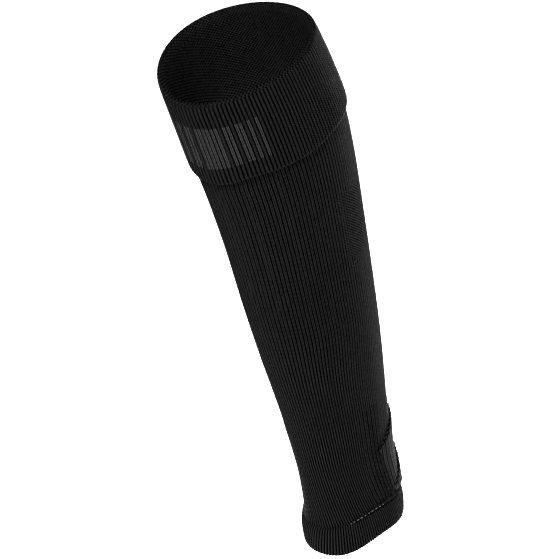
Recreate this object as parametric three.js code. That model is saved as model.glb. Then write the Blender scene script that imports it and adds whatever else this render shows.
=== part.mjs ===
// Footless leg sleeve, in the form that it has on a lower leg: a ribbed knitted tube with a turned-down
// cuff below the knee, a doubled band at the ankle and two raised panels over the heel tendon.
// Millimetres, +Z up the leg, -Y the shin, +Y the calf. The origin is the centre of the ankle opening.
import * as THREE from 'three';

// Knit
const ribCount = 112; // ribs round the leg, the same from ankle to knee
const legRibDepth = 0.6; // from the bottom of a groove to the top of a rib
const fabric = 1.7; // cloth under the grooves
const seamGap = 0.3; // between neighbouring pieces
const liningSides = 56; // facets round a smooth inner face

// Leg form
const topHeight = 376.7; // centre of the knee opening
const ankleDepth = 1.02; // front to back over side to side
const kneeDepth = 0.85;
const anklePinch = 0.173; // how much the shin side narrows and the calf side widens
const kneePinch = 0.127;
const waves = 4; // soft waves round the ankle seam and hem
const wavePeak = 75; // degrees from the shin to the top of a wave

// A row for each section up the leg, on the middle of the cloth's outer face: the height of its centre, its
// sway to +X and bow to +Y, its radius, its pitch (calf edge up) and lift (+X edge up) in degrees, and the
// height of its waves.
const legSections = [
  { height: 0, sway: 0, bow: 0, radius: 34.2, pitch: 7.2, lift: 1.4, wave: 1.5 },
  { height: 23, sway: 1.6, bow: 1.9, radius: 33.8, pitch: 7.0, lift: 1.4, wave: 1.3 },
  { height: 36, sway: 2.0, bow: 3.3, radius: 33.6, pitch: 5.7, lift: 1.1, wave: 0.6 },
  { height: 54, sway: 1.8, bow: 5.3, radius: 33.9, pitch: 4.0, lift: 0.8, wave: 0 },
  { height: 75, sway: 0.6, bow: 8.2, radius: 36.0, pitch: 1.9, lift: 0.4, wave: 0 },
  { height: 105, sway: -0.8, bow: 11.2, radius: 39.5, pitch: 0, lift: 0, wave: 0 },
  { height: 143, sway: -0.5, bow: 11.7, radius: 44.0, pitch: 0, lift: 0, wave: 0 },
  { height: 188, sway: 0.2, bow: 11.8, radius: 48.1, pitch: 0, lift: 0, wave: 0 },
  { height: 234, sway: -1.4, bow: 15.0, radius: 51.8, pitch: 3.9, lift: 1.1, wave: 0 },
  { height: 280, sway: -3.6, bow: 17.4, radius: 56.2, pitch: 10.7, lift: 3.1, wave: 0 },
  { height: 308, sway: -3.5, bow: 15.2, radius: 58.2, pitch: 14.8, lift: 4.2, wave: 0 },
  { height: 340, sway: -2.4, bow: 9.2, radius: 57.9, pitch: 14.4, lift: 3.5, wave: 0 },
  { height: topHeight, sway: 0, bow: 0, radius: 57.3, pitch: 13.7, lift: 2.5, wave: 0 },
];

// Doubled ankle band, from its hem up to the seam: how far its outer face stands off the leg, and its rib
// depth
const bandHeight = 21.2;
const rimRound = 2;
const bandProfile = [
  { height: -rimRound / 2, stand: 0.8, ribDepth: 0.8 },
  { height: rimRound, stand: 2.4, ribDepth: 0.8 },
  { height: 14, stand: 3.4, ribDepth: 0.8 },
  { height: 19.6, stand: 2.6, ribDepth: 0.8 },
  { height: bandHeight, stand: 1.4, ribDepth: 0.4 },
];

// Turned-down cuff, from its hem up to the fold, by the drop below the knee opening. The fold sags at the
// front, and sag is the share of that which a row takes.
const cuffDrop = 68.5;
const hemRound = 1.8;
const foldRound = 1.2;
const foldHeight = 8; // where both layers lie together
const sagDepth = 3.4;
const sagTurn = 30 / 360; // where the sag is deepest
const sagWidth = 0.35; // cosine of the angle from there at which it is half as deep
const sagSoftness = 0.12;
const cuffProfile = [
  { drop: cuffDrop, stand: 1.3, ribDepth: 0.4, sag: 0 },
  { drop: cuffDrop - hemRound, stand: 2.2, ribDepth: 0.8, sag: 0 },
  { drop: cuffDrop / 2, stand: 3.2, ribDepth: 0.8, sag: 0 },
  { drop: foldRound, stand: 2.7, ribDepth: 0.8, sag: 1 },
  { drop: -foldRound, stand: 0.4, ribDepth: 0.4, sag: 1 },
];
const cuffHem = topHeight - cuffDrop;
const cuffMiddle = topHeight - cuffDrop / 2;
const foldFoot = topHeight - foldHeight;

// Raised panels, each a bell that is widest at its foot and points up the back of the leg. The angles are
// from the middle of the back to one side, at the foot and at the tips of the bell.
const panelThickness = 1.7;
const panelGap = 0.4; // under a panel
const panelColumns = 24;
const panelRows = 4;
const panels = [
  { name: 'tendon_panel_upper', layer: 0, footAngle: 78, tipAngle: 96, tipHeight: 63, rise: 25, curve: 1.5 },
  { name: 'tendon_panel_lower', layer: 1, footAngle: 72, tipAngle: 73, tipHeight: 27, rise: 37, curve: 1.3 },
];

const knitColour = 0x1c1c1c;
const panelColour = 0x202020;
const knitRoughness = 0.95;

// The leg's section at a height, smoothly between the rows of the table
const sectionColumns = Object.keys(legSections[0]).filter((column) => column !== 'height');
const sectionSpline = new THREE.CubicInterpolant(
  legSections.map((row) => row.height),
  legSections.flatMap((row) => sectionColumns.map((column) => row[column])),
  sectionColumns.length,
);

function sectionAt(height) {
  const values = sectionSpline.evaluate(height);
  const section = Object.fromEntries(sectionColumns.map((column, i) => [column, values[i]]));
  const part = height / topHeight;
  section.height = height;
  section.depth = THREE.MathUtils.lerp(ankleDepth, kneeDepth, part);
  section.pinch = THREE.MathUtils.lerp(anklePinch, kneePinch, part);
  return section;
}

// The outline of a section: an egg that starts at the shin and runs by +X to the calf
class EggCurve extends THREE.Curve {
  constructor(section) {
    super();
    this.section = section;
    this.arcLengthDivisions = 720;
  }

  getPoint(turn, target = new THREE.Vector2()) {
    const { radius, depth, pinch } = this.section;
    const angle = turn * 2 * Math.PI;
    const across = radius * Math.sin(angle) * (1 - pinch * Math.cos(angle));
    return target.set(across, -radius * depth * Math.cos(angle));
  }
}

// A point that stands off the leg's surface, at a share of the way round its section
function legPoint(curve, turn, stand) {
  const { section } = curve;
  const place = curve.getPointAt(turn);
  const along = curve.getTangentAt(turn);
  const x = place.x + along.y * stand;
  const y = place.y - along.x * stand;
  const pitchRise = Math.tan(THREE.MathUtils.degToRad(section.pitch)) * y;
  const liftRise = Math.tan(THREE.MathUtils.degToRad(section.lift)) * x;
  const waveRise = section.wave * Math.cos(waves * (turn * 2 * Math.PI - THREE.MathUtils.degToRad(wavePeak)));
  const rise = pitchRise + liftRise + waveRise;
  return new THREE.Vector3(section.sway + x, section.bow + y, section.height + rise);
}

// How far the fold of the cuff hangs down at a share of the way round
function foldSag(turn) {
  const facing = Math.cos((turn - sagTurn) * 2 * Math.PI);
  return -sagDepth / (1 + Math.exp((sagWidth - facing) / sagSoftness));
}

function ringOf(columns, height, sag, standAt) {
  const curve = new EggCurve(sectionAt(height));
  return Array.from({ length: columns }, (_, i) => {
    const turn = i / columns;
    const point = legPoint(curve, turn, standAt(i));
    point.z += sag * foldSag(turn);
    return point;
  });
}

function smoothRing(height, stand, sag = 0) {
  return ringOf(liningSides, height, sag, () => stand);
}

function ribbedRing(height, stand, ribDepth, sag = 0) {
  return ringOf(2 * ribCount, height, sag, (i) => stand + (i % 2 === 0 ? ribDepth / 2 : -ribDepth / 2));
}

// A closed wall through rings of points that go up its outer face, over its top and down its inner face.
// Two neighbouring rings may have different counts, one a multiple of the other.
function wallGeometry(rings) {
  const starts = [];
  let total = 0;
  for (const ring of rings) {
    starts.push(total);
    total += ring.length;
  }
  const index = [];
  rings.forEach((ring, r) => {
    const next = (r + 1) % rings.length;
    const steps = Math.max(ring.length, rings[next].length);
    const corner = (which, i) => {
      const count = rings[which].length;
      return starts[which] + (Math.round((i * count) / steps) % count);
    };
    for (let i = 0; i < steps; i += 1) {
      const [a, b, c, d] = [corner(r, i), corner(r, i + 1), corner(next, i + 1), corner(next, i)];
      if (a !== b) index.push(a, b, c);
      if (c !== d) index.push(a, c, d);
    }
  });
  return meshGeometry(rings.flat(), index);
}

function meshGeometry(points, index) {
  const geometry = new THREE.BufferGeometry().setFromPoints(points);
  geometry.setIndex(index);
  geometry.computeVertexNormals();
  return geometry;
}

// Inner face of the leg and of every piece that continues it
const lining = -legRibDepth / 2 - fabric;

// Ribbed tube from the ankle seam to the fold of the cuff, plain where the cuff covers it
function legTube() {
  const foot = bandHeight + seamGap;
  const top = foldFoot - seamGap;
  const ribbedHeights = [foot, 36, 54, 75, 105, 150, 200, 245, 282, cuffHem - hemRound];
  const coveredHeights = [cuffHem + hemRound, cuffMiddle, top];
  const liningHeights = [top, cuffMiddle, cuffHem, 250, 175, 90, foot];
  return wallGeometry([
    ...ribbedHeights.map((height) => ribbedRing(height, 0, legRibDepth)),
    ...coveredHeights.map((height) => smoothRing(height, 0)),
    ...liningHeights.map((height) => smoothRing(height, lining)),
  ]);
}

// Outer layer of the cuff with its fold, which butts on the top edge of the tube
function turnedCuff() {
  const inside = legRibDepth / 2 + seamGap;
  return wallGeometry([
    ...cuffProfile.map((row) => ribbedRing(topHeight - row.drop, row.stand, row.ribDepth, row.sag)),
    smoothRing(topHeight - foldRound, lining, 1),
    smoothRing(foldFoot, lining),
    smoothRing(foldFoot, inside),
    smoothRing(cuffMiddle, inside),
    smoothRing(cuffHem, inside),
  ]);
}

// Doubled hem that flares below the ankle seam
function ankleBand() {
  return wallGeometry([
    ...bandProfile.map(({ height, stand, ribDepth }) => ribbedRing(height, stand, ribDepth)),
    smoothRing(bandHeight, lining),
    smoothRing(rimRound, lining),
    smoothRing(0, lining / 2),
  ]);
}

// A raised panel: a curved plate on the back of the leg, or on the panel below it
function tendonPanel({ layer, footAngle, tipAngle, tipHeight, rise, curve }) {
  const foot = bandHeight + 2 * seamGap;
  const inside = legRibDepth / 2 + panelGap + layer * (panelThickness + panelGap);
  const pointAt = (column, row, stand) => {
    const side = (2 * column) / panelColumns - 1;
    const up = row / panelRows;
    const bell = rise * Math.max(0, 1 - side ** 2) ** curve;
    const height = THREE.MathUtils.lerp(foot, tipHeight + bell, up);
    const angle = side * THREE.MathUtils.lerp(footAngle, tipAngle, up);
    return legPoint(new EggCurve(sectionAt(height)), 0.5 + angle / 360, stand);
  };
  const across = panelColumns + 1;
  const layerSize = across * (panelRows + 1);
  const points = [];
  for (const stand of [inside + panelThickness, inside]) {
    for (let row = 0; row <= panelRows; row += 1) {
      for (let column = 0; column <= panelColumns; column += 1) {
        points.push(pointAt(column, row, stand));
      }
    }
  }
  const index = [];
  const quad = (a, b, c, d) => index.push(a, b, c, a, c, d);
  for (let row = 0; row < panelRows; row += 1) {
    for (let column = 0; column < panelColumns; column += 1) {
      const a = row * across + column;
      const [b, c, d] = [a + 1, a + 1 + across, a + across];
      quad(a, b, c, d);
      quad(a + layerSize, d + layerSize, c + layerSize, b + layerSize);
    }
  }
  const edge = (from, to) => quad(from, from + layerSize, to + layerSize, to);
  for (let column = 0; column < panelColumns; column += 1) {
    const top = panelRows * across + column;
    edge(column, column + 1);
    edge(top + 1, top);
  }
  for (let row = 0; row < panelRows; row += 1) {
    const left = row * across;
    const right = left + panelColumns;
    edge(left + across, left);
    edge(right, right + across);
  }
  return meshGeometry(points, index);
}

function knitMesh(name, geometry, color) {
  const material = new THREE.MeshStandardMaterial({ color, roughness: knitRoughness, metalness: 0 });
  const mesh = new THREE.Mesh(geometry, material);
  mesh.name = name;
  return mesh;
}

const sleeve = new THREE.Group();
sleeve.add(knitMesh('leg_tube', legTube(), knitColour));
sleeve.add(knitMesh('turned_cuff', turnedCuff(), knitColour));
sleeve.add(knitMesh('ankle_band', ankleBand(), knitColour));
for (const panel of panels) {
  sleeve.add(knitMesh(panel.name, tendonPanel(panel), panelColour));
}

export default sleeve;
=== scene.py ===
import math

import bpy
import numpy as np
from mathutils import Matrix, Vector


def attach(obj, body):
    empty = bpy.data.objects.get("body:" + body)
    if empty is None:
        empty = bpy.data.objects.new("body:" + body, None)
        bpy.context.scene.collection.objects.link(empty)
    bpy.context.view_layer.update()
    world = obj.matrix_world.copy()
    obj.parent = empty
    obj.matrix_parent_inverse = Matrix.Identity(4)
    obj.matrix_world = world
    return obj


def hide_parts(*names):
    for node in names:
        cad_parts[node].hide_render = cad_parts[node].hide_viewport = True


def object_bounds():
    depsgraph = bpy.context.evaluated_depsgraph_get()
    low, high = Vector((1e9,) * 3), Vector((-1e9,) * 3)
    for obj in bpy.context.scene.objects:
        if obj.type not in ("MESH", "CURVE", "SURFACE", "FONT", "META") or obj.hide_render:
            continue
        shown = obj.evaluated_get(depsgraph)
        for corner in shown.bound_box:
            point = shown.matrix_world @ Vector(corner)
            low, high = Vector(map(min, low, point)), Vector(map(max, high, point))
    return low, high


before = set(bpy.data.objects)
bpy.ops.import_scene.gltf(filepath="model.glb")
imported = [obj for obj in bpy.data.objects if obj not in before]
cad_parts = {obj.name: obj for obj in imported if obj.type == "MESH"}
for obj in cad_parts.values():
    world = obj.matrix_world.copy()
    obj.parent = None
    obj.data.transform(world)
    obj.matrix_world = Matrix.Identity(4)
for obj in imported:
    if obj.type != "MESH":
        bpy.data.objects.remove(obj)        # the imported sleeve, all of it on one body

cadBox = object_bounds()
mm = 0.001
mergeGap = 0.001  # between copies that join
fullTurn = 2 * math.pi
print("frame loaded:", sorted(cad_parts))

# Worn form of the leg, as the solids have it: mm and degrees, -Y the shin, +Y the calf
legForm = {
    "topHeight": 376.7,
    "ankleDepth": 1.02,  # front to back over side to side
    "kneeDepth": 0.85,
    "anklePinch": 0.173,  # how much the shin side narrows
    "kneePinch": 0.127,
    "waves": 4,  # soft waves round the ankle
    "wavePeak": 75,
    "arcSteps": 720,
    # height, sway to +X, bow to +Y, radius, pitch, lift, wave
    "sections": [
        (0, 0, 0, 34.2, 7.2, 1.4, 1.5),
        (23, 1.6, 1.9, 33.8, 7.0, 1.4, 1.3),
        (36, 2.0, 3.3, 33.6, 5.7, 1.1, 0.6),
        (54, 1.8, 5.3, 33.9, 4.0, 0.8, 0),
        (75, 0.6, 8.2, 36.0, 1.9, 0.4, 0),
        (105, -0.8, 11.2, 39.5, 0, 0, 0),
        (143, -0.5, 11.7, 44.0, 0, 0, 0),
        (188, 0.2, 11.8, 48.1, 0, 0, 0),
        (234, -1.4, 15.0, 51.8, 3.9, 1.1, 0),
        (280, -3.6, 17.4, 56.2, 10.7, 3.1, 0),
        (308, -3.5, 15.2, 58.2, 14.8, 4.2, 0),
        (340, -2.4, 9.2, 57.9, 14.4, 3.5, 0),
        (376.7, 0, 0, 57.3, 13.7, 2.5, 0),
    ],
}
sectionTable = np.array(legForm["sections"], dtype=float)


def walkAlong(x, y):
    # the way along a line of points, 0 at the first
    return np.concatenate(([0], np.cumsum(np.hypot(np.diff(x), np.diff(y)))))


def legSection(height):
    # cubic between the rows, straight at both ends
    last = len(sectionTable) - 1
    i = int(np.clip(np.searchsorted(sectionTable[:, 0], height, side="right"), 1, last))
    low, high = sectionTable[i - 1], sectionTable[i]
    before = sectionTable[i - 2] if i > 1 else high
    after = sectionTable[i + 1] if i < last else low
    half = (high[0] - low[0]) / 2
    wBefore, wAfter = half / (low[0] - before[0]), half / (after[0] - high[0])
    p = float(np.clip((height - low[0]) / (2 * half), 0, 1))
    return (
        before * (-wBefore * p**3 + 2 * wBefore * p**2 - wBefore * p)
        + low * ((1 + wBefore) * p**3 - (1.5 + 2 * wBefore) * p**2 + (wBefore - 0.5) * p + 1)
        + high * (-(1 + wAfter) * p**3 + (1.5 + wAfter) * p**2 + 0.5 * p)
        + after * (wAfter * p**3 - wAfter * p**2)
    )


def ringOnLeg(height, turn, stand):
    # points on one section, stand mm off the leg, at shares of the way round from the shin by +X
    _, sway, bow, radius, pitch, lift, wave = legSection(height)
    share = height / legForm["topHeight"]
    depth = legForm["ankleDepth"] + (legForm["kneeDepth"] - legForm["ankleDepth"]) * share
    pinch = legForm["anklePinch"] + (legForm["kneePinch"] - legForm["anklePinch"]) * share

    steps = np.linspace(0, fullTurn, legForm["arcSteps"] + 1)
    stepX = np.sin(steps) * (1 - pinch * np.cos(steps))
    stepY = -depth * np.cos(steps)
    arc = walkAlong(stepX, stepY)
    angle = np.interp(turn - np.floor(turn), arc / arc[-1], steps)

    alongX = np.cos(angle) - pinch * np.cos(2 * angle)
    alongY = depth * np.sin(angle)
    along = np.hypot(alongX, alongY)
    x = radius * np.sin(angle) * (1 - pinch * np.cos(angle)) + alongY / along * stand
    y = -radius * depth * np.cos(angle) - alongX / along * stand
    z = height + math.tan(math.radians(pitch)) * y + math.tan(math.radians(lift)) * x
    z = z + wave * np.cos(legForm["waves"] * (turn * fullTurn - math.radians(legForm["wavePeak"])))
    return np.column_stack((sway + x, bow + y, z)) * mm


# How the ribs run: wider on one side of the front, drifting and then leaning to +X on the way down
ribLay = {
    "depth": 0.6,  # of the solids' ribs
    "fabric": 1.7,  # cloth under the grooves
    "course": 3.2,  # height of one stitch
    # how much wider the widest ribs are and where they lie, on the calf and at the ankle
    "calfStretch": 0.31,
    "ankleStretch": 0.25,
    "calfWidest": -50 / 360,
    "ankleWidest": -75 / 360,
    "calfFoot": 175,
    "ankleTop": 110,
    "closingSteps": 12,
    "drift": 4 / 360,
    "driftTop": 308,
    "lean": 12 / 360,
    "leanTop": 68,
    "leanHeight": 45,
    "leanCurve": 1.8,
    "grooveSharpness": 3,
}
lining = -ribLay["depth"] / 2 - ribLay["fabric"]  # inner face of every layer that lies on the leg


def ribDrift(height):
    drift = ribLay["drift"] * np.maximum(0, 1 - height / ribLay["driftTop"])
    lower = np.maximum(0, (ribLay["leanTop"] - height) / ribLay["leanHeight"])
    return drift + ribLay["lean"] * lower ** ribLay["leanCurve"]


def ribTurn(rib, height, count):
    # the turn at which a rib lies: rib 0 at the shin, closing in on the place that fits the spacing
    step = np.clip((ribLay["calfFoot"] - height) / (ribLay["calfFoot"] - ribLay["ankleTop"]), 0, 1)
    low = step * step * (3 - 2 * step)
    stretch = ribLay["calfStretch"] + (ribLay["ankleStretch"] - ribLay["calfStretch"]) * low
    widest = fullTurn * (ribLay["calfWidest"] + (ribLay["ankleWidest"] - ribLay["calfWidest"]) * low)
    turn = rib / count
    for _ in range(ribLay["closingSteps"]):
        swing = np.sin(fullTurn * turn - widest) + np.sin(widest)
        turn = rib / count + stretch * swing / fullTurn
    return turn + ribDrift(height)


def ribColumns(phases, count):
    return np.add.outer(np.arange(count) - count // 2, np.array(phases)).ravel()


def ribRise(ribs, pairing):
    # half a unit on a rib's crest and half a unit down in a groove, every other groove shallower
    whole = np.floor(ribs)
    phase = ribs - whole
    groove = np.where(phase < 0.5, whole, whole + 1)
    hollow = np.abs(2 * phase - 1) ** ribLay["grooveSharpness"]
    return 0.5 - np.where(groove % 2 == 0, 1, 1 - pairing) * hollow


def deselectAll():
    if bpy.context.object and bpy.context.object.mode != "OBJECT":
        bpy.ops.object.mode_set(mode="OBJECT")
    bpy.ops.object.select_all(action="DESELECT")


def readPoints(mesh):
    points = np.empty(len(mesh.vertices) * 3)
    mesh.vertices.foreach_get("co", points)
    return points.reshape(-1, 3)


def writePoints(mesh, points):
    mesh.vertices.foreach_set("co", np.asarray(points).ravel())
    mesh.update()


def readCorners(mesh):
    corners = np.empty(len(mesh.loops), dtype=np.int64)
    mesh.loops.foreach_get("vertex_index", corners)
    return corners


def writeKnitMap(mesh, across, courses):
    knitMap = mesh.uv_layers.new(name="knit")
    knitMap.data.foreach_set("uv", np.column_stack((across, courses)).ravel())


def writeShare(mesh, name, values):
    share = mesh.attributes.new(name, "FLOAT", "POINT")
    share.data.foreach_set("value", np.asarray(values, dtype=np.float32))


def arrayCopies(piece, count, step, merged=False):
    copies = piece.modifiers.new("copies", "ARRAY")
    copies.count = count
    copies.use_relative_offset = False
    copies.use_constant_offset = True
    copies.constant_offset_displace = step
    copies.use_merge_vertices = merged
    copies.merge_threshold = mergeGap
    bpy.ops.object.modifier_apply(modifier=copies.name)


def knitTube(name, phases, count, wallRows, zones, lay=ribTurn):
    # one straight course is arrayed into a tube, closed by a bridge and laid on the leg, row by row
    ribs = ribColumns(phases, count)
    columnCount, rowCount = len(ribs), len(wallRows)
    deselectAll()
    bpy.ops.mesh.primitive_cylinder_add(
        vertices=columnCount, radius=1, depth=1, end_fill_type="NOTHING", location=(0, 0, 0.5)
    )
    tube = bpy.context.object
    tube.name = tube.data.name = name
    bpy.ops.object.transform_apply(location=True, rotation=True, scale=True)
    arrayCopies(tube, rowCount - 1, (0, 0, 1), merged=True)
    bpy.ops.object.mode_set(mode="EDIT")
    bpy.ops.mesh.select_mode(type="EDGE")
    bpy.ops.mesh.select_all(action="DESELECT")
    bpy.ops.mesh.select_non_manifold()
    bpy.ops.mesh.bridge_edge_loops()
    bpy.ops.object.mode_set(mode="OBJECT")

    mesh = tube.data
    straight = readPoints(mesh)
    turn = np.arctan2(straight[:, 0], -straight[:, 1]) / fullTurn + 0.5
    column = np.rint(turn * columnCount).astype(int) % columnCount
    row = np.rint(straight[:, 2]).astype(int)
    laid = []
    for height, stand, rise, _ in wallRows:
        ring = ringOnLeg(height, lay(ribs, height, count), stand)
        ring[:, 2] += rise * mm
        laid.append(ring)
    writePoints(mesh, np.stack(laid)[row, column])
    writeShare(mesh, "innerFace", np.array([float(inside) for *_, inside in wallRows])[row])
    for zoneName, zoneShare in zones.items():
        shares = np.stack([zoneShare(height, lay(ribs, height, count)) for height, *_ in wallRows])
        writeShare(mesh, zoneName, shares[row, column])

    corners = readCorners(mesh).reshape(-1, 4)
    cornerColumn, cornerRow = column[corners], row[corners]
    across = ribs[cornerColumn]
    seamFaces = np.ptp(cornerColumn, axis=1) > columnCount / 2
    across[seamFaces[:, None] & (cornerColumn < columnCount / 2)] += count
    heights = np.array([height for height, *_ in wallRows])
    courseAt = heights[cornerRow] / ribLay["course"]
    writeKnitMap(mesh, across.ravel(), courseAt.ravel())
    bpy.ops.object.shade_smooth()
    print(name, "laid:", len(mesh.vertices), "points")
    return tube


def finishPiece(piece, node, material):
    piece.data.materials.clear()
    piece.data.materials.append(material)
    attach(piece, "root")
    if node:
        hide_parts(node)


# Small helpers for material nodes
def feed(tree, socket, value):
    # a number or a colour is set on the socket, another node's output is linked to it
    if isinstance(value, (int, float)):
        socket.default_value = value
    elif isinstance(value, tuple):
        socket.default_value = (*value, 1)
    else:
        tree.links.new(value, socket)


def knot(tree, operation, *values):
    node = tree.nodes.new("ShaderNodeMath")
    node.operation = operation
    for socket, value in zip(node.inputs, values):
        feed(tree, socket, value)
    return node.outputs[0]


def product(tree, value, *others):
    for other in others:
        value = knot(tree, "MULTIPLY", value, other)
    return value


def startMaterial(name):
    material = bpy.data.materials.new(name)
    material.use_nodes = True
    return material, material.node_tree, material.node_tree.nodes["Principled BSDF"]


def mattMaterial(name, colour, roughness):
    material, _, shader = startMaterial(name)
    shader.inputs["Base Color"].default_value = (*colour, 1)
    shader.inputs["Roughness"].default_value = roughness
    shader.inputs["Specular IOR Level"].default_value = 0
    return material


def blendValues(tree, factor, low, high):
    node = tree.nodes.new("ShaderNodeMix")
    node.data_type = "FLOAT"
    for place, value in zip((0, 2, 3), (factor, low, high)):
        feed(tree, node.inputs[place], value)
    return node.outputs[0]


def blendColours(tree, factor, low, high):
    node = tree.nodes.new("ShaderNodeMix")
    node.data_type = "RGBA"
    for place, value in zip((0, 6, 7), (factor, low, high)):
        feed(tree, node.inputs[place], value)
    return node.outputs[2]


def knitAxes(tree):
    knitMap = tree.nodes.new("ShaderNodeUVMap")
    knitMap.uv_map = "knit"
    split = tree.nodes.new("ShaderNodeSeparateXYZ")
    tree.links.new(knitMap.outputs[0], split.inputs[0])
    return split.outputs[0], split.outputs[1]


def roundOver(tree, share):
    # 0 at both ends of a repeat and 1 in its middle
    swing = knot(tree, "MULTIPLY_ADD", share, 2, -1)
    return knot(tree, "SUBTRACT", 1, product(tree, swing, swing))


def rampUp(tree, value, start, width):
    # 0 up to the start and 1 from the start and width on
    ramp = knot(tree, "DIVIDE", knot(tree, "SUBTRACT", value, start), width)
    ramp.node.use_clamp = True
    return ramp


def rampByHeight(tree, courses, start, width):
    return rampUp(tree, courses, start / ribLay["course"], width / ribLay["course"])


def fadeTo(tree, depth, share):
    # 1 where the share is 1, less the depth where it is 0
    if isinstance(depth, (int, float)):
        return knot(tree, "MULTIPLY_ADD", share, depth, 1 - depth)
    return knot(tree, "SUBTRACT", 1, product(tree, depth, knot(tree, "SUBTRACT", 1, share)))


def ribSide(tree, ribs):
    # 0 on the middle of a rib and a half in the grooves
    return knot(tree, "ABSOLUTE", knot(tree, "SUBTRACT", knot(tree, "FRACT", ribs), 0.5))


def ribGroove(tree, ribs, finish):
    # dark lines between the ribs, some of them deeper than others: grooves in the bump and painted shade in
    # the colour
    chance = tree.nodes.new("ShaderNodeTexWhiteNoise")
    chance.noise_dimensions = "1D"
    tree.links.new(knot(tree, "ROUND", ribs), chance.inputs["W"])
    vary = finish["grooveVary"]
    depth = knot(tree, "MULTIPLY_ADD", chance.outputs["Value"], vary, 1 - vary)
    toGroove = knot(tree, "SUBTRACT", 0.5, ribSide(tree, ribs))
    return fadeTo(tree, depth, rampUp(tree, toGroove, finish["grooveCore"], finish["grooveSide"]))


def unevenness(tree, column, row):
    # a share of its own for each stitch
    cell = tree.nodes.new("ShaderNodeCombineXYZ")
    tree.links.new(knot(tree, "FLOOR", column), cell.inputs[0])
    tree.links.new(knot(tree, "FLOOR", row), cell.inputs[1])
    chance = tree.nodes.new("ShaderNodeTexWhiteNoise")
    chance.noise_dimensions = "2D"
    tree.links.new(cell.outputs[0], chance.inputs["Vector"])
    return chance.outputs["Value"]


def stitchRelief(tree, ribs, courses, finish):
    # two slanting yarns to a rib, which meet as a V in each course, with a small gap between them
    side = ribSide(tree, ribs)
    climb = knot(tree, "MULTIPLY_ADD", side, -finish["slope"], courses)
    yarn = fadeTo(tree, finish["stitchDepth"], roundOver(tree, knot(tree, "FRACT", climb)))
    apart = rampUp(tree, side, finish["middleCore"], finish["middleSide"])
    middle = fadeTo(tree, finish["middleDepth"], apart)
    uneven = fadeTo(tree, finish["uneven"], unevenness(tree, product(tree, ribs, 2), climb))
    return product(tree, yarn, uneven, middle, ribGroove(tree, ribs, finish))


def longRelief(tree, ribs, courses, finish, calm=0, pairs=0, depth=1):
    # long even ribs: every other groove shallower where in pairs, stitches and grooves fading where calm
    odd = knot(tree, "FLOORED_MODULO", knot(tree, "ROUND", ribs), 2)
    share = knot(tree, "MULTIPLY_ADD", pairs, finish["longPairing"], finish["longPairingLeast"])
    paired = knot(tree, "SUBTRACT", 1, product(tree, odd, share))
    calmer = knot(tree, "POWER", calm, 2)
    faded = knot(tree, "MULTIPLY_ADD", calmer, -finish["calmFade"], 1)
    toGroove = knot(tree, "SUBTRACT", 0.5, ribSide(tree, ribs))
    ridge = rampUp(tree, toGroove, finish["longCore"], finish["longSide"])
    line = fadeTo(tree, product(tree, paired, faded, depth), ridge)
    climb = knot(tree, "MULTIPLY_ADD", ribs, finish["slope"], courses)
    shown = knot(tree, "MULTIPLY_ADD", calm, -finish["longStitch"], finish["longStitch"])
    yarn = fadeTo(tree, shown, roundOver(tree, knot(tree, "FRACT", climb)))
    even = knot(tree, "MULTIPLY_ADD", calmer, finish["calmTone"] - 1, 1)
    return product(tree, line, yarn, even)


def purlRelief(tree, ribs, courses, uneven, rows, depth):
    # the back of the stitches: short bars, staggered from one half rib to the next
    halves = product(tree, ribs, 2)
    stagger = product(tree, knot(tree, "FLOORED_MODULO", knot(tree, "FLOOR", halves), 2), 0.5)
    climb = knot(tree, "MULTIPLY_ADD", courses, rows, stagger)
    bar = fadeTo(tree, depth, roundOver(tree, knot(tree, "FRACT", climb)))
    return product(tree, bar, fadeTo(tree, uneven, unevenness(tree, halves, climb)))


def reverseRelief(tree, ribs, courses, finish):
    bars = purlRelief(tree, ribs, courses, finish["uneven"], finish["purlRows"], finish["purlDepth"])
    return product(tree, bars, ribGroove(tree, ribs, finish))


def yarnNoise(tree, scale, detail):
    place = tree.nodes.new("ShaderNodeTexCoord")
    noise = tree.nodes.new("ShaderNodeTexNoise")
    noise.inputs["Scale"].default_value = scale
    noise.inputs["Detail"].default_value = detail
    tree.links.new(place.outputs["Object"], noise.inputs["Vector"])
    return noise.outputs["Fac"]


def readShare(tree, name):
    share = tree.nodes.new("ShaderNodeAttribute")
    share.attribute_name = name
    return share.outputs["Fac"]


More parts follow.
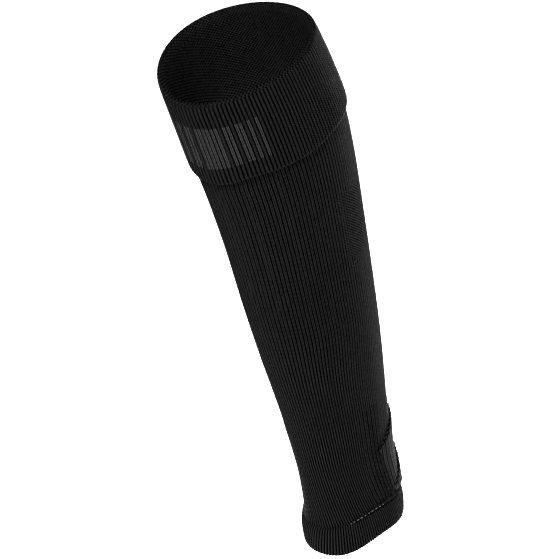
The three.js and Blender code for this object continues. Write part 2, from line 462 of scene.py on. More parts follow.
def knitSurface(tree, shader, finish, outside, colour=None, shine=0):
    # yarn colour by relief, darkened as painted shade in the gaps and grooves between stitches, and by soft
    # noise, with the stitches as bump, and a plainer inner face
    ribs, courses = knitAxes(tree)
    inner = readShare(tree, "innerFace")
    rows, depth = finish["innerRows"], finish["innerDepth"]
    inside = purlRelief(tree, ribs, courses, finish["innerUneven"], rows, depth)
    relief = blendValues(tree, inner, outside, inside)
    fine = knot(tree, "SUBTRACT", yarnNoise(tree, finish["fuzzScale"], finish["fuzzDetail"]), 0.5)
    broad = knot(tree, "SUBTRACT", yarnNoise(tree, finish["shadeScale"], finish["shadeDetail"]), 0.5)
    height = knot(tree, "MULTIPLY_ADD", fine, finish["fuzz"], relief)
    # the tone is painted shade: dark in the gaps and grooves of the relief, full yarn on the crests
    tone = rampUp(tree, height, finish["dark"], finish["light"] - finish["dark"])
    tone = product(tree, tone, knot(tree, "MULTIPLY_ADD", broad, finish["shade"], 1))
    # painted light on the inner face: lighter deeper down, where shade falls inside the sleeve
    deep = rampByHeight(tree, courses, finish["innerTop"], finish["innerFade"])
    innerYarn = blendColours(tree, deep, finish["innerYarn"], finish["innerDeepPaintedLight"])
    # painted shade: darker yarn on the crest of the cuff's fold, where it faces the light from above
    crest = rampByHeight(tree, courses, finish["crestFoot"], finish["crestRise"])
    innerYarn = blendColours(tree, crest, innerYarn, finish["crestPaintedShade"])
    yarn = blendColours(tree, inner, colour or finish["yarn"], innerYarn)
    tree.links.new(blendColours(tree, tone, finish["gap"], yarn), shader.inputs["Base Color"])
    bump = tree.nodes.new("ShaderNodeBump")
    bump.inputs["Strength"].default_value = finish["bump"]
    bump.inputs["Distance"].default_value = finish["bumpDepth"] * mm
    tree.links.new(height, bump.inputs["Height"])
    tree.links.new(bump.outputs[0], shader.inputs["Normal"])
    shader.inputs["Roughness"].default_value = finish["roughness"]
    shader.inputs["Specular IOR Level"].default_value = finish["specular"]
    weight = knot(tree, "MULTIPLY_ADD", shine, finish["sheen"], finish["sheen"])
    sheen = product(tree, knot(tree, "SUBTRACT", 1, inner), tone, weight)
    tree.links.new(sheen, shader.inputs["Sheen Weight"])
    shader.inputs["Sheen Roughness"].default_value = finish["sheenRoughness"]


blackYarn = {
    "yarn": (0.017, 0.017, 0.0172),
    # painted shade in the gaps and grooves between the yarns
    "gap": (0.0002, 0.0002, 0.0002),
    "innerYarn": (0.019, 0.019, 0.0192),
    "innerDeepPaintedLight": (0.04, 0.04, 0.041),
    "innerTop": 360,  # height from which the inner yarn gets lighter downwards, painted light against the shade deep inside
    "innerFade": -150,
    "crestPaintedShade": (0.0068, 0.0068, 0.0069),  # painted shade inside the fold of the cuff, over its crest, from what height
    "crestFoot": 373.5,
    "crestRise": 5,
    "innerRows": 1.3,  # to a course
    "innerDepth": 1.3,
    "innerUneven": 0.35,
    "slope": 1.8,
    "stitchDepth": 0.4,
    "purlRows": 1.7,  # to a course
    "purlDepth": 0.7,
    "middleDepth": 0.95,
    "middleCore": 0.02,  # half the gap between the two yarns of a rib, in ribs
    "middleSide": 0.12,
    "uneven": 0.22,
    "grooveCore": 0.15,  # half the dark line between two ribs
    "grooveSide": 0.1,
    "grooveVary": 0.4,
    "closeRows": 1.56,  # to a course
    "closeSlant": 0.9,  # of a row to a rib
    "closeDepth": 0.95,
    "closeTone": 0.85,
    "longPairing": 0.8,  # how much shallower every other groove of the long ribs gets
    "longPairingLeast": 0.1,
    "longCore": 0.22,
    "longSide": 0.12,
    "longStitch": 0.5,
    "calmFade": 0.85,  # of the grooves where calm, and the even tone there
    "calmTone": 0.6,
    "dark": 0.3,  # relief that is still all gap, painted shade
    "light": 0.72,  # relief that is all yarn
    "fuzz": 0.5,
    "fuzzScale": 700,
    "fuzzDetail": 2,
    "shade": 0.3,
    "shadeScale": 22,
    "shadeDetail": 1,
    "bump": 1.0,
    "bumpDepth": 0.4,
    "roughness": 0.8,
    "specular": 0.0,
    "sheen": 0.012,
    "sheenRoughness": 0.3,
    "calfShine": 1,  # how much more sheen on the calf side, on the lower leg and where they meet
    "lowShine": 1.0,
    "lowCalfShine": 7,
    "lowShinShine": 4,  # and past the shin at the ankle
}


# Ankle seam between the leg and its band: degrees from the shin, mm
seam = {"middle": 50, "width": 35, "rise": 2.0, "drop": -0.9}

# Leg: fine ribs to just under the cuff, deeper ones below a wavy border above the ankle
leg = {
    "foot": 21.5,
    "ribTop": 306.4,
    "top": 368.7,
    "count": 116,
    "ribRows": 142,
    "coveredRows": 5,
    "cornerRow": 0.25,  # mm to the row that keeps a corner crisp
    "liningRows": 26,
    "phases": (0, 0.2, 0.5, 0.8),
    "fineDepth": 0.55,
    "deepDepth": 1.2,
    "finePairing": 0.0,
    "deepPairing": 0.5,
    "borderMiddle": 91.2,
    "borderWave": 5.8,
    "borderPeak": 80 / 360,
    "borderSoftness": 3,
    "liningDepth": 0.15,
    "hemDraw": 0.9,  # how far the hem of the cuff draws the knit in, and over what height
    "hemDrawHeight": 9,
    "seamFlare": 1.0,  # how far the foot spreads towards the ankle seam, and over what height
    "seamFlareHeight": 7,
    "seamTuck": 2.0,  # the foot tucks in instead towards the calf
    "seamReach": 15,  # height over which the foot follows the wave of the seam
    "closeKnitTurn": 104 / 360,  # from the middle of the calf to each side
    "closeKnitSideSoftness": 22,
    "closeKnitLow": 214,
    "closeKnitHigh": 262,
    "closeKnitSoftness": 5,
    "longKnitTop": 195,  # height where the long ribs start, and where they have come in
    "longKnitFull": 135,
    "longKnitShare": 0.5,  # of them above the wavy border, and how deep they are there
    "longKnitDepth": 0.95,
    "calfSideStart": 55 / 360,  # turn from the shin where the calf side starts, and how wide it comes in
    "calfSideWidth": 45 / 360,
    "calfPairing": 0.55,  # how far round the ribs of the ankle have paired up, and their tone there
    "calfTone": 0.62,
    "ribbedShare": 0.8,  # how much of the calf side's calm they take away
    "smoothStart": 0.6,  # share of the calf side from which they smooth out again, above the panels
    "smoothWidth": 0.3,
    "smoothLow": 60,
    "smoothRise": 8,
    "pastShinStart": -12 / 360,  # where they pair up past the shin, fading out again towards the back
    "pastShinWidth": 20 / 360,
    "pastShinEnd": -150 / 360,
    "flat": (0.31, 0.345),
    "area": 0.085,
}


def fromShin(turn):
    return np.abs((turn + 0.5) % 1 - 0.5)


def seamWave(turn):
    # how far the ankle seam rises over its even height
    away = (turn * 360 - seam["middle"] + 180) % 360 - 180
    return seam["rise"] * np.exp(-((away / seam["width"]) ** 2)) + seam["drop"]


def seamFollow(height, turn):
    return seamWave(turn) * max(0, 1 - (height - leg["foot"]) / leg["seamReach"])


def ankleShare(height, turn):
    wave = np.cos(2 * fullTurn * (turn - leg["borderPeak"]))
    border = leg["borderMiddle"] + leg["borderWave"] * wave
    return np.clip((border - height) / leg["borderSoftness"] + 0.5, 0, 1)


def legRows():
    ribs = ribColumns(leg["phases"], leg["count"])
    fine, deep = ribRise(ribs, leg["finePairing"]), ribRise(ribs, leg["deepPairing"])
    foot, top, corner = leg["foot"], leg["top"], leg["cornerRow"]
    rows = []
    for height in np.linspace(foot, leg["ribTop"], leg["ribRows"]):
        turn = ribTurn(ribs, height, leg["count"])
        low = ankleShare(height, turn)
        drawn = leg["hemDraw"] * max(0, 1 - (leg["ribTop"] - height) / leg["hemDrawHeight"]) ** 2
        flare = leg["seamFlare"] * max(0, 1 - (height - foot) / leg["seamFlareHeight"]) ** 2
        flare = flare * (1 - leg["seamTuck"] * calfShare(height, turn))
        stand = fine * leg["fineDepth"] * (1 - low) + deep * leg["deepDepth"] * low - drawn + flare
        rows.append((height, stand, seamFollow(height, turn), False))
    for height in np.linspace(leg["ribTop"], top, leg["coveredRows"] + 1)[1:]:
        rows.append((height, np.zeros(len(ribs)), 0, False))
    between = np.linspace(top, foot, leg["liningRows"])[1:-1]
    for height in (top, top - corner, *between, foot + corner, foot):
        rise = seamFollow(height, ribTurn(ribs, height, leg["count"]))
        rows.append((height, lining - fine * leg["liningDepth"], rise, True))
    return rows


def closeShare(height, turn):
    sides = (fromShin(turn) - 0.5 + leg["closeKnitTurn"]) * 360 / leg["closeKnitSideSoftness"]
    ends = min(height - leg["closeKnitLow"], leg["closeKnitHigh"] - height) / leg["closeKnitSoftness"]
    return np.clip(np.minimum(sides, ends), 0, 1)


def longShare(height, turn):
    come = np.clip((leg["longKnitTop"] - height) / (leg["longKnitTop"] - leg["longKnitFull"]), 0, 1)
    return np.maximum(ankleShare(height, turn), leg["longKnitShare"] * come)


def calfShare(height, turn):
    return np.clip((fromShin(turn) - leg["calfSideStart"]) / leg["calfSideWidth"], 0, 1)


def pastShinShare(height, turn):
    away = (turn + 0.5) % 1 - 0.5
    start = (leg["pastShinStart"] - away) / leg["pastShinWidth"]
    end = (away - leg["pastShinEnd"]) / leg["pastShinWidth"]
    return np.clip(np.minimum(start, end), 0, 1)


def closeRelief(tree, ribs, courses, finish):
    # a closer knit: fine slanting rows without ribs
    slant = product(tree, ribs, finish["closeSlant"])
    climb = knot(tree, "MULTIPLY_ADD", courses, finish["closeRows"], slant)
    rows = fadeTo(tree, finish["closeDepth"], roundOver(tree, knot(tree, "FRACT", climb)))
    uneven = fadeTo(tree, finish["uneven"], unevenness(tree, ribs, climb))
    return product(tree, rows, uneven, finish["closeTone"])


def legKnitMaterial():
    # V stitches, with long ribs at the ankle that pair up to both sides and smooth out above the panels,
    # a calm calf side and a closer knit on the calf
    material, tree, shader = startMaterial("black leg knit")
    ribs, courses = knitAxes(tree)
    plain = stitchRelief(tree, ribs, courses, blackYarn)
    calfSide, ankle = readShare(tree, "calfSide"), readShare(tree, "ankleKnit")
    longKnit, pastShin = readShare(tree, "longKnit"), readShare(tree, "pastShin")
    longRibs = knot(tree, "MAXIMUM", longKnit, calfSide)
    beside = rampUp(tree, calfSide, leg["smoothStart"], leg["smoothWidth"])
    over = rampByHeight(tree, courses, leg["smoothLow"], leg["smoothRise"])
    smooth = product(tree, beside, over)
    ribbed = product(tree, ankle, knot(tree, "SUBTRACT", 1, smooth))
    calm = product(tree, calfSide, knot(tree, "MULTIPLY_ADD", ribbed, -leg["ribbedShare"], 1))
    calfPairs = rampUp(tree, product(tree, calfSide, ribbed), 0, leg["calfPairing"])
    pairs = knot(tree, "MAXIMUM", calfPairs, pastShin)
    depth = knot(tree, "MULTIPLY_ADD", ankle, 1 - leg["longKnitDepth"], leg["longKnitDepth"])
    drawn = longRelief(tree, ribs, courses, blackYarn, calm, pairs, depth)
    pairTone = knot(tree, "MULTIPLY_ADD", calfPairs, leg["calfTone"] - 1, 1)
    low = blendValues(tree, longRibs, plain, product(tree, drawn, pairTone))
    close = closeRelief(tree, ribs, courses, blackYarn)
    relief = blendValues(tree, readShare(tree, "closeKnit"), low, close)
    calfShine = knot(tree, "MULTIPLY_ADD", longKnit, blackYarn["lowCalfShine"], blackYarn["calfShine"])
    shine = product(tree, longKnit, blackYarn["lowShine"])
    shine = knot(tree, "MULTIPLY_ADD", calfSide, calfShine, shine)
    shinSide = product(tree, pastShin, ankle)
    shine = knot(tree, "MULTIPLY_ADD", shinSide, blackYarn["lowShinShine"], shine)
    knitSurface(tree, shader, blackYarn, relief, shine=shine)
    return material


def buildLeg():
    zones = {
        "closeKnit": closeShare,
        "ankleKnit": ankleShare,
        "longKnit": longShare,
        "calfSide": calfShare,
        "pastShin": pastShinShare,
    }
    piece = knitTube("leg_knit", leg["phases"], leg["count"], legRows(), zones)
    finishPiece(piece, "leg_tube", legKnitMaterial())
    return piece


# Turned-down cuff: flat ribs with narrow grooves, the reverse of the knit outside
cuff = {
    "count": 128,
    "hemDrop": 68.5,
    "hemRows": 6,
    "wallRows": 60,
    "foldRows": 7,
    "liningRows": 5,
    "innerRows": 9,
    "phases": (0, 0.14, 0.5, 0.86),
    "pairing": 0.45,
    "inside": 0.6,
    # waves of the hem: degrees from the shin, width, rise, stand off the leg
    "hemWaves": [(25, 18, 3.0, 1.0), (70, 14, -1.3, 0)],
    "hemHighlight": 1.3,  # height of the painted highlight along the lower edge of the hem, and its colour
    "hemHighlightColour": (0.03, 0.03, 0.03),
    "hemReach": 40,
    "hemStandReach": 14,
    "foldFoot": 368.7,
    "cornerRow": 0.25,
    "outerStand": 2.1,  # the fold turns inwards where it stands less off the leg, and from there takes the inner face's yarn, with painted shade on its crest
    # the fold dips at the front: how far, round which turn, and how low the dip reaches
    "dip": 3.4,
    "dipTurn": 30 / 360,
    "dipWidth": 0.35,
    "dipSoftness": 0.12,
    "dipReach": 30,
    # drop below the knee opening, stand off the leg, rib depth
    "profile": [
        (68.5, 1.6, 0.2),
        (68.1, 2.2, 0.5),
        (66.7, 2.7, 0.9),
        (60, 2.9, 0.9),
        (34.25, 3.2, 0.9),
        (8, 2.9, 0.9),
        (1.4, 2.5, 0.9),
        (-0.3, 1.8, 0.7),
        (-1.2, 0.7, 0.5),
        (-0.9, -0.5, 0.3),
        (1.2, -1.5, 0.2),
    ],
    "hemEnd": 2,  # rows of the profile where the rounded hem ends, and the straight wall
    "wallEnd": 6,
    "greyLow": 322,
    "greyHigh": 356,
    "greyMiddle": 1,
    # ribs from the middle of the design where a grey bar starts and stops
    "greyBars": [(0, 3), (4, 6), (7, 9), (10, 11), (12, 13)],
    "greyReach": 14,
    "grey": (0.05, 0.05, 0.051),
    "yarn": (0.0142, 0.0142, 0.0144),
    "calfShine": 4,
    "flat": (0.33, 0.075),
}


def foldDip(turn):
    facing = np.cos(fullTurn * (turn - cuff["dipTurn"]))
    return -cuff["dip"] / (1 + np.exp((cuff["dipWidth"] - facing) / cuff["dipSoftness"]))


def hemWave(turn):
    # rise and stand off the leg that the waves give the hem
    rise, stand = np.zeros(len(turn)), np.zeros(len(turn))
    for middle, width, waveRise, waveStand in cuff["hemWaves"]:
        away = (turn * 360 - middle + 180) % 360 - 180
        wave = np.exp(-((away / width) ** 2))
        rise += wave * waveRise
        stand += wave * waveStand
    return rise, stand


def cuffRows():
    ribs = ribColumns(cuff["phases"], cuff["count"])
    rise = ribRise(ribs, cuff["pairing"])
    table = np.array(cuff["profile"])
    walked = walkAlong(table[:, 0], table[:, 1])
    hemEnd, wallEnd = walked[cuff["hemEnd"]], walked[cuff["wallEnd"]]
    stops = np.concatenate((
        np.linspace(0, hemEnd, cuff["hemRows"], endpoint=False),
        np.linspace(hemEnd, wallEnd, cuff["wallRows"], endpoint=False),
        np.linspace(wallEnd, walked[-1], cuff["foldRows"]),
    ))
    top, foot, corner = legForm["topHeight"], cuff["foldFoot"], cuff["cornerRow"]
    rows = []
    for drop, stand, depth in zip(*(np.interp(stops, walked, table[:, i]) for i in range(3))):
        height = top - drop
        turn = ribTurn(ribs, height, cuff["count"])
        overHem = cuff["hemDrop"] - drop
        waveRise, waveStand = hemWave(turn)
        moved = foldDip(turn) * np.clip(1 - drop / cuff["dipReach"], 0, 1)
        moved = moved + waveRise * np.clip(1 - overHem / cuff["hemReach"], 0, 1)
        off = stand + waveStand * np.clip(1 - overHem / cuff["hemStandReach"], 0, 1)
        rows.append((height, off + rise * depth, moved, stand < cuff["outerStand"]))
    crest = rows[-1][0]
    for height in (*np.linspace(crest, foot, cuff["liningRows"])[1:-1], foot + corner, foot):
        dip = foldDip(ribTurn(ribs, height, cuff["count"])) * (height - foot) / (crest - foot)
        rows.append((height, np.full(len(ribs), lining), dip, True))
    hem = top - cuff["hemDrop"]
    for height in (foot, foot - corner, *np.linspace(foot, hem, cuff["innerRows"])[1:]):
        waveRise, waveStand = hemWave(ribTurn(ribs, height, cuff["count"]))
        moved = waveRise * np.clip(1 - (height - hem) / cuff["hemReach"], 0, 1)
        off = cuff["inside"] + waveStand * np.clip(1 - (height - hem) / cuff["hemStandReach"], 0, 1)
        rows.append((height, off, moved, True))
    return rows


# share of the painted highlight along the lower edge of the hem
def hemHighlightShare(height, turn):
    over = height - legForm["topHeight"] + cuff["hemDrop"]
    return np.full(len(turn), max(0, 1 - over / cuff["hemHighlight"]))


def cuffKnitMaterial():
    material, tree, shader = startMaterial("black cuff knit with grey bars")
    ribs, courses = knitAxes(tree)
    back = reverseRelief(tree, ribs, courses, blackYarn)
    front = stitchRelief(tree, ribs, courses, blackYarn)

    fromMiddle = knot(tree, "ABSOLUTE", knot(tree, "SUBTRACT", ribs, cuff["greyMiddle"]))
    bars = tree.nodes.new("ShaderNodeValToRGB")
    bars.color_ramp.interpolation = "CONSTANT"
    stops = bars.color_ramp.elements
    stops[0].position, stops[0].color = 0, (1, 1, 1, 1)
    stops.remove(stops[1])
    for start, stop in cuff["greyBars"]:
        for place, shade in ((start, 1), (stop, 0)):
            if place > 0:
                stops.new(place / cuff["greyReach"]).color = (shade, shade, shade, 1)
    tree.links.new(knot(tree, "DIVIDE", fromMiddle, cuff["greyReach"]), bars.inputs[0])
    above = knot(tree, "GREATER_THAN", courses, cuff["greyLow"] / ribLay["course"])
    below = knot(tree, "LESS_THAN", courses, cuff["greyHigh"] / ribLay["course"])
    zone = product(tree, bars.outputs[0], above, below)
    relief = blendValues(tree, zone, back, front)
    colour = blendColours(tree, zone, cuff["yarn"], cuff["grey"])
    # painted highlight: a lighter line without grooves along the lower edge of the hem
    edge = readShare(tree, "hemHighlight")
    relief = knot(tree, "MAXIMUM", relief, edge)
    colour = blendColours(tree, edge, colour, cuff["hemHighlightColour"])
    shine = product(tree, readShare(tree, "calfSide"), cuff["calfShine"])
    knitSurface(tree, shader, blackYarn, relief, colour, shine)
    return material


def buildCuff():
    zones = {"hemHighlight": hemHighlightShare, "calfSide": calfShare}
    piece = knitTube("cuff_knit", cuff["phases"], cuff["count"], cuffRows(), zones)
    finishPiece(piece, "turned_cuff", cuffKnitMaterial())
    return piece


# Doubled ankle band with a soft wavy hem
band = {
    "count": 130,
    "top": 21.2,
    "rimInside": 1.4,
    "rows": 26,
    "rimRows": 7,
    "liningRows": 7,
    "phases": (0, 0.2, 0.5, 0.8),
    "pairing": 0.35,
    "lean": 10 / 360,  # of the ribs, square to the hem: none at one turn, growing to both sides of it
    "leanTurn": 32 / 360,
    "calfShine": 4,
    # height, stand, rib depth, from the inside of the rim up to the seam
    "profile": [
        (0.4, -1.4, 0.1),
        (-0.6, -0.6, 0.3),
        (-1.0, 0.5, 0.6),
        (-0.4, 1.6, 0.8),
        (2.0, 2.5, 0.9),
        (8.0, 3.2, 0.9),
        (14.0, 3.4, 0.9),
        (17.4, 3.1, 0.9),
        (19.8, 2.7, 0.8),
        (20.9, 2.0, 0.5),
        (21.2, 1.2, 0.2),
    ],
    "rimEnd": 3,  # row of the profile where the rounded rim ends
    "flat": (0.19, 0.043),
}


def bandTurn(ribs, height, count):
    turn = ribTurn(ribs, band["top"], count)
    return turn + band["lean"] * np.sin(fullTurn * (turn - band["leanTurn"])) * (1 - height / band["top"])


def bandWave(ribs, height):
    return seamWave(bandTurn(ribs, height, band["count"])) * max(0, height / band["top"])


def bandRows():
    ribs = ribColumns(band["phases"], band["count"])
    rise = ribRise(ribs, band["pairing"])
    table = np.array(band["profile"])
    walked = walkAlong(table[:, 0], table[:, 1])
    stops = np.concatenate((
        np.linspace(0, walked[band["rimEnd"]], band["rimRows"], endpoint=False),
        np.linspace(walked[band["rimEnd"]], walked[-1], band["rows"]),
    ))
    height, stand, depth = (np.interp(stops, walked, table[:, i]) for i in range(3))
    rows = []
    for h, s, r in zip(height, stand, depth):
        rows.append((h, s + rise * r, bandWave(ribs, h), False))
    for h in np.linspace(band["top"], band["rimInside"], band["liningRows"]):
        rows.append((h, np.full(len(ribs), lining), bandWave(ribs, h), True))
    return rows


def bandKnitMaterial():
    material, tree, shader = startMaterial("black band knit")
    ribs, courses = knitAxes(tree)
    relief = longRelief(tree, ribs, courses, blackYarn)
    calfSide = readShare(tree, "calfSide")
    shine = knot(tree, "MULTIPLY_ADD", calfSide, band["calfShine"], blackYarn["lowShine"])
    knitSurface(tree, shader, blackYarn, relief, shine=shine)
    return material


def buildBand():
    zones = {"calfSide": calfShare}
    piece = knitTube("band_knit", band["phases"], band["count"], bandRows(), zones, bandTurn)
    finishPiece(piece, "ankle_band", bandKnitMaterial())
    return piece


# Raised panels over the heel tendon: bells whose angles run from the middle of the back to each side
panel = {
    "foot": 21.8,
    "thickness": 1.7,
    "gap": 0.4,
    "rows": 34,
    "tryHeights": 240,  # heights at which a rib is tried, and how many have to lie in the bell
    "leastHeights": 4,
    "phases": (0, 0.2, 0.5, 0.8),
    "topEdge": 3,  # how far in the rounded top edge reaches, and the thickness left at it
    "edgeShare": 0.25,
    "topSink": 0.45,
    "sideEdge": 11,  # how far in the sides rise out of the knit below, from what depth and thickness
    "sink": 1.6,
    "sideShare": 0.35,
    "calm": 0.5,
    "pairs": 0.55,
    # lighter than the leg's yarn: painted light where the light from behind falls on the panels
    "yarn": (0.023, 0.023, 0.0232),
    "shine": 7,
    "radius": 34,  # of the ankle, for lengths along it
    "ribDepth": 0.8,
    "pairing": 0.7,
    "bells": [
        {"name": "upper_panel_knit", "node": "tendon_panel_upper", "layer": 0, "footAngle": 78,
         "tipAngle": 96, "tipHeight": 63, "rise": 25, "curve": 1.5, "flat": (0.12, 0.064), "area": 0.0056},
        {"name": "lower_panel_knit", "node": "tendon_panel_lower", "layer": 1, "footAngle": 72,
         "tipAngle": 73, "tipHeight": 27, "rise": 37, "curve": 1.3, "flat": (0.095, 0.04), "area": 0.0024},
    ],
}


def arcLength(degrees):
    return degrees / 360 * fullTurn * panel["radius"]


def arcDegrees(length):
    return length / panel["radius"] / fullTurn * 360


def bellTop(bell, angle):
    side = np.clip(angle / bell["tipAngle"], -1, 1)
    return bell["tipHeight"] + bell["rise"] * (1 - side**2) ** bell["curve"]


def bellSide(bell, height):
    share = np.clip((height - panel["foot"]) / (bell["tipHeight"] - panel["foot"]), 0, 1)
    return bell["footAngle"] + (bell["tipAngle"] - bell["footAngle"]) * share


def bellRise(bell, angle, height):
    # 0 at the sides of a bell and 1 where it has risen out of the knit below
    toSide = arcLength(np.maximum(bellSide(bell, height) - np.abs(angle), 0))
    step = np.clip(toSide / panel["sideEdge"], 0, 1)
    return step * step * (3 - 2 * step)


def bellInside(bell):
    return ribLay["depth"] / 2 + panel["gap"] + bell["layer"] * (panel["thickness"] + panel["gap"])


def bellColumns(bell):
    # rib columns that cross the bell, each with the lowest and highest point of its way through it
    heights = np.linspace(panel["foot"], bell["tipHeight"] + bell["rise"], panel["tryHeights"])
    columns = []
    for rib in ribColumns(panel["phases"], leg["count"]) + leg["count"] // 2:
        angle = (ribTurn(rib, heights, leg["count"]) - 0.5) * 360
        inside = (np.abs(angle) <= bellSide(bell, heights)) & (heights <= bellTop(bell, angle))
        if np.count_nonzero(inside) > panel["leastHeights"]:
            columns.append((rib, heights[inside][0], heights[inside][-1]))
    return columns


def panelKnitMaterial():
    material, tree, shader = startMaterial("black panel knit")
    ribs, courses = knitAxes(tree)
    relief = longRelief(tree, ribs, courses, blackYarn, panel["calm"], panel["pairs"])
    # the panels' yarn is lighter as painted light from behind
    knitSurface(tree, shader, blackYarn, relief, panel["yarn"], shine=panel["shine"])
    return material


def buildPanel(bell, material):
    columns = bellColumns(bell)
    columnCount, rowCount = len(columns), panel["rows"]
    deselectAll()
    bpy.ops.mesh.primitive_grid_add(x_subdivisions=columnCount - 1, y_subdivisions=rowCount - 1, size=2)
    piece = bpy.context.object
    piece.name = piece.data.name = bell["name"]
    bpy.ops.object.mode_set(mode="EDIT")
    bpy.ops.mesh.select_all(action="SELECT")
    bpy.ops.mesh.extrude_region_move(TRANSFORM_OT_translate={"value": (0, 0, 1)})
    bpy.ops.object.mode_set(mode="OBJECT")

    mesh = piece.data
    flat = readPoints(mesh)
    column = np.rint((flat[:, 0] + 1) / 2 * (columnCount - 1)).astype(int)
    row = np.rint((flat[:, 1] + 1) / 2 * (rowCount - 1)).astype(int)
    outer = flat[:, 2] > 0.5
    rib = np.array([c[0] for c in columns])[column]
    low = np.array([c[1] for c in columns])[column]
    high = np.array([c[2] for c in columns])[column]
    ease = 0.5 - 0.5 * np.cos(math.pi * row / (rowCount - 1))  # rows close up towards the edges
    height = low + (high - low) * ease
    turn = ribTurn(rib, height, leg["count"])
    angle = (turn - 0.5) * 360
    toTop = np.minimum(height - low, high - height)
    topRound = np.sqrt(1 - (1 - np.clip(toTop / panel["topEdge"], 0, 1)) ** 2)
    risen = bellRise(bell, angle, height)
    ribs = ribRise(rib, panel["pairing"]) * panel["ribDepth"] * topRound
    full = panel["thickness"] * (panel["edgeShare"] + (1 - panel["edgeShare"]) * topRound) + ribs
    bed = bellInside(bell) - panel["sink"] * (1 - risen) - panel["topSink"] * (1 - topRound)
    stand = np.where(outer, bed + full * (panel["sideShare"] + (1 - panel["sideShare"]) * risen), bed)
    laid = np.vstack([ringOnLeg(h, np.array([t]), s) for h, t, s in zip(height, turn, stand)])
    writePoints(mesh, laid)
    bpy.ops.object.mode_set(mode="EDIT")
    bpy.ops.mesh.select_all(action="SELECT")
    bpy.ops.mesh.normals_make_consistent(inside=False)
    bpy.ops.object.mode_set(mode="OBJECT")
    corners = readCorners(mesh)
    writeKnitMap(mesh, rib[corners], height[corners] / ribLay["course"])
    bpy.ops.object.shade_smooth()
    finishPiece(piece, bell["node"], material)
    print(bell["name"], "laid:", len(mesh.vertices), "points")
    return piece


# Sewing: dark stitches over the top edges of the panels, a dark thread (partly seam, partly painted shadow
# under the pale stitches) and pale stitches along part of the ankle seam, and two grey stitches on the calf
sewing = {
    "roughness": 0.9,
    "segments": 8,  # of the ball that each stitch is drawn from
    "rings": 6,
    "spacing": 4,
    # dark thread, also used as painted shadow under the pale seam stitches
    "dark": (0.0003, 0.0003, 0.0003),
    "darkWidth": 0.48,
    "edgeSteps": 400,
    "pitch": 3.6,
    "slantUp": 0.65,  # half a dark stitch, up the leg
    "slantAcross": 1.8,  # half a dark stitch, towards the back
    "darkStand": 1.2,  # off the bed of the panel's edge
    "darkClimb": 1.0,  # half the way outwards from the low end to the high one
    "pale": (0.24, 0.24, 0.235),
    "paleWidth": 0.23,
    "paleHalf": 0.65,
    "paleDrop": 0.2,  # below the top of the band
    "paleStand": 2.0,
    # degrees from the shin, length to the others
    "paleStitches": [
        (38, 0.5), (42, 0.7), (46.5, 1.1), (51, 1.3), (56, 0.9),
        (61, 0.7), (65.5, 1.1), (71, 1.2), (76, 1.0), (81, 0.7),
    ],
    "seamDrop": 0.7,  # of the dark thread along the seam, partly seam and partly painted shadow under the pale stitches, below the top of the band
    "seamStand": 2.9,
    "seamWidth": 0.4,
    "seamHalf": 1.9,
    "seamFrom": 44,  # degrees from the shin
    "seamTo": 106,
    "seamCount": 14,
    "grey": (0.035, 0.035, 0.035),
    "greyStitches": [(86.4, 209.9), (88.4, 211.9)],  # degrees from the shin, height
    "greyHalf": 0.7,
}


def layThreads(name, strokes, width):
    # one small ball is arrayed, and each copy is drawn out between the ends of its stroke
    segments, rings, spacing = sewing["segments"], sewing["rings"], sewing["spacing"]
    deselectAll()
    bpy.ops.mesh.primitive_uv_sphere_add(segments=segments, ring_count=rings, radius=1, location=(0, 0, 0))
    threads = bpy.context.object
    threads.name = threads.data.name = name
    arrayCopies(threads, len(strokes), (spacing, 0, 0))
    points = readPoints(threads.data)
    which = np.rint(points[:, 0] / spacing).astype(int)
    points[:, 0] -= spacing * which
    starts, ends = np.array([s for s, _ in strokes]), np.array([e for _, e in strokes])
    along = (ends - starts) / 2
    length = np.linalg.norm(along, axis=1)
    across = np.cross(along, (0, 0, 1))
    across /= np.linalg.norm(across, axis=1)[:, None]
    third = np.cross(along / length[:, None], across)
    laid = ((starts + ends) / 2)[which] + along[which] * points[:, 2:3]
    laid += (across[which] * points[:, 0:1] + third[which] * points[:, 1:2]) * width * mm
    writePoints(threads.data, laid)
    bpy.ops.object.shade_smooth()
    print(name, "laid:", len(strokes), "stitches")
    return threads


def onLeg(degrees, height, stand):
    return ringOnLeg(height, np.array([degrees / 360]), stand)[0]


def panelStrokes(bell):
    # slanting stitches at an even pitch along the top edge, mirrored at the middle of the back
    angles = np.linspace(-bell["tipAngle"], 0, sewing["edgeSteps"])
    heights = bellTop(bell, angles)
    steps = np.hypot(np.diff(heights), arcLength(np.diff(angles)))
    walked = np.concatenate(([0], np.cumsum(steps)))
    bed = bellInside(bell) - panel["sink"] * (1 - bellRise(bell, angles, heights))
    stands = np.maximum(bed, ribLay["depth"] / 2 + panel["gap"]) + sewing["darkStand"]
    degreesAcross = arcDegrees(sewing["slantAcross"])
    strokes = []
    for stop in np.arange(sewing["pitch"] / 2, walked[-1], sewing["pitch"]):
        angle, height, stand = (np.interp(stop, walked, values) for values in (angles, heights, stands))
        for side in (1, -1):
            ends = []
            for way in (-1, 1):
                degrees = 180 + side * (angle + way * degreesAcross)
                up, out = way * sewing["slantUp"], way * sewing["darkClimb"]
                ends.append(onLeg(degrees, height + up, stand + out))
            strokes.append(ends)
    return strokes


def acrossStroke(degrees, height, stand, half):
    reach = arcDegrees(half)
    return onLeg(degrees - reach, height, stand), onLeg(degrees + reach, height, stand)


def seamHeight(degrees, drop):
    return band["top"] - drop + float(seamWave(np.array(degrees / 360)))


def seamStrokes():
    strokes = []
    for degrees, length in sewing["paleStitches"]:
        height = seamHeight(degrees, sewing["paleDrop"])
        strokes.append(acrossStroke(degrees, height, sewing["paleStand"], sewing["paleHalf"] * length))
    return strokes


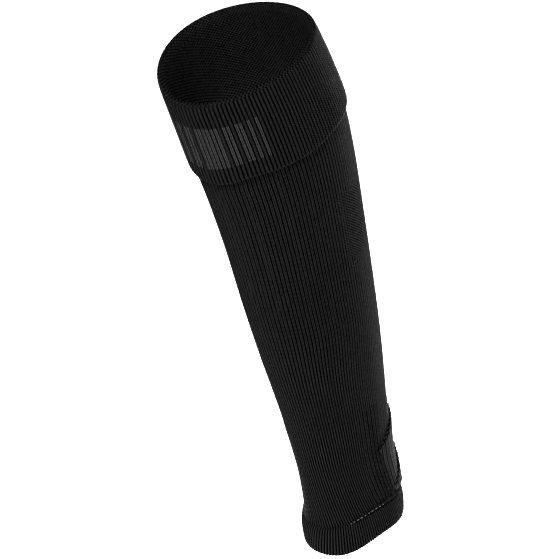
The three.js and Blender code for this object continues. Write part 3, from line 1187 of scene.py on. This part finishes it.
def seamLine():
    strokes = []
    for degrees in np.linspace(sewing["seamFrom"], sewing["seamTo"], sewing["seamCount"]):
        height = seamHeight(degrees, sewing["seamDrop"])
        strokes.append(acrossStroke(degrees, height, sewing["seamStand"], sewing["seamHalf"]))
    return strokes


def calfStrokes():
    strokes = []
    for degrees, height in sewing["greyStitches"]:
        strokes.append(acrossStroke(degrees, height, leg["fineDepth"], sewing["greyHalf"]))
    return strokes


def buildSewing():
    dark = mattMaterial("black sewing thread", sewing["dark"], sewing["roughness"])
    for bell in panel["bells"]:
        name = bell["name"].replace("knit", "stitches")
        finishPiece(layThreads(name, panelStrokes(bell), sewing["darkWidth"]), None, dark)
    # the dark thread along the seam: partly seam, partly painted shadow under the pale stitches
    finishPiece(layThreads("seam_thread_and_painted_shadow", seamLine(), sewing["seamWidth"]), None, dark)
    pale = mattMaterial("pale sewing thread", sewing["pale"], sewing["roughness"])
    finishPiece(layThreads("seam_stitches", seamStrokes(), sewing["paleWidth"]), None, pale)
    grey = mattMaterial("grey sewing thread", sewing["grey"], sewing["roughness"])
    finishPiece(layThreads("calf_stitches", calfStrokes(), sewing["paleWidth"]), None, grey)


legPiece = buildLeg()
cuffPiece = buildCuff()
bandPiece = buildBand()
panelMaterial = panelKnitMaterial()
panelPieces = [buildPanel(bell, panelMaterial) for bell in panel["bells"]]
buildSewing()

# White studio: a floor well below the sleeve, an even surround and soft boxes
studio = {
    "floorDrop": 0.45,
    "floorSize": 14,
    "floorColour": (0.95, 0.95, 0.95),
    "floorRoughness": 1,
    "surround": 0.9,
    # name, power in watts, size, place
    "boxes": [
        ("left box", 1.1, 0.25, (-0.22, -0.2, -0.08)),
        ("right box", 6, 1.0, (1.9, 0.6, 1.0)),
        ("rim box", 420, 0.8, (-0.1, 2.0, -0.15)),
        ("key box", 60, 0.8, (0.47, -1.3, 2.17)),
    ],
    "aim": (0, 0, 0.2),
}


def buildStudio():
    deselectAll()
    low = cadBox[0]
    bpy.ops.mesh.primitive_plane_add(size=studio["floorSize"], location=(0, 0, low.z - studio["floorDrop"]))
    floor = bpy.context.object
    floor.name = "studio_floor"
    floor.data.materials.append(
        mattMaterial("matt white floor", studio["floorColour"], studio["floorRoughness"])
    )
    world = bpy.data.worlds.new("white surround")
    world.use_nodes = True
    world.node_tree.nodes["Background"].inputs["Color"].default_value = (1, 1, 1, 1)
    world.node_tree.nodes["Background"].inputs["Strength"].default_value = studio["surround"]
    bpy.context.scene.world = world
    for name, power, size, place in studio["boxes"]:
        bpy.ops.object.light_add(type="AREA", location=place)
        box = bpy.context.object
        box.name = name
        box.data.energy = power
        box.data.size = size
        aim = Vector(studio["aim"]) - Vector(place)
        box.rotation_euler = aim.to_track_quat("-Z", "Y").to_euler()
    bpy.context.scene.view_settings.view_transform = "Standard"


# Camera of the product shot: a long lens, leaning so that the leg stands aslant in the frame
shot = {
    "azimuth": 43,
    "elevation": 26.355,
    "roll": 14.279,
    "distance": 2.75,
    "lens": 255,
    "sensor": 36,
    "reach": 50,
    "middle": (0, 0, 0.18835),
    "right": -0.00937,
    "up": 0.00993,
}


def placeCamera():
    azimuth, elevation, roll = (math.radians(shot[key]) for key in ("azimuth", "elevation", "roll"))
    back = Vector((
        math.sin(azimuth) * math.cos(elevation),
        -math.cos(azimuth) * math.cos(elevation),
        math.sin(elevation),
    ))
    levelRight = Vector((math.cos(azimuth), math.sin(azimuth), 0))
    levelUp = back.cross(levelRight)
    right = levelRight * math.cos(roll) - levelUp * math.sin(roll)
    up = levelRight * math.sin(roll) + levelUp * math.cos(roll)
    aim = Vector(shot["middle"]) + right * shot["right"] + up * shot["up"]
    bpy.ops.object.camera_add()
    camera = bpy.context.object
    camera.name = "product camera"
    turned = Matrix((right, up, back)).transposed().to_4x4()
    camera.matrix_world = Matrix.Translation(aim + back * shot["distance"]) @ turned
    camera.data.lens = shot["lens"]
    camera.data.sensor_width = shot["sensor"]
    camera.data.clip_end = shot["reach"]
    bpy.context.scene.camera = camera


buildStudio()
placeCamera()
print("studio and camera set")
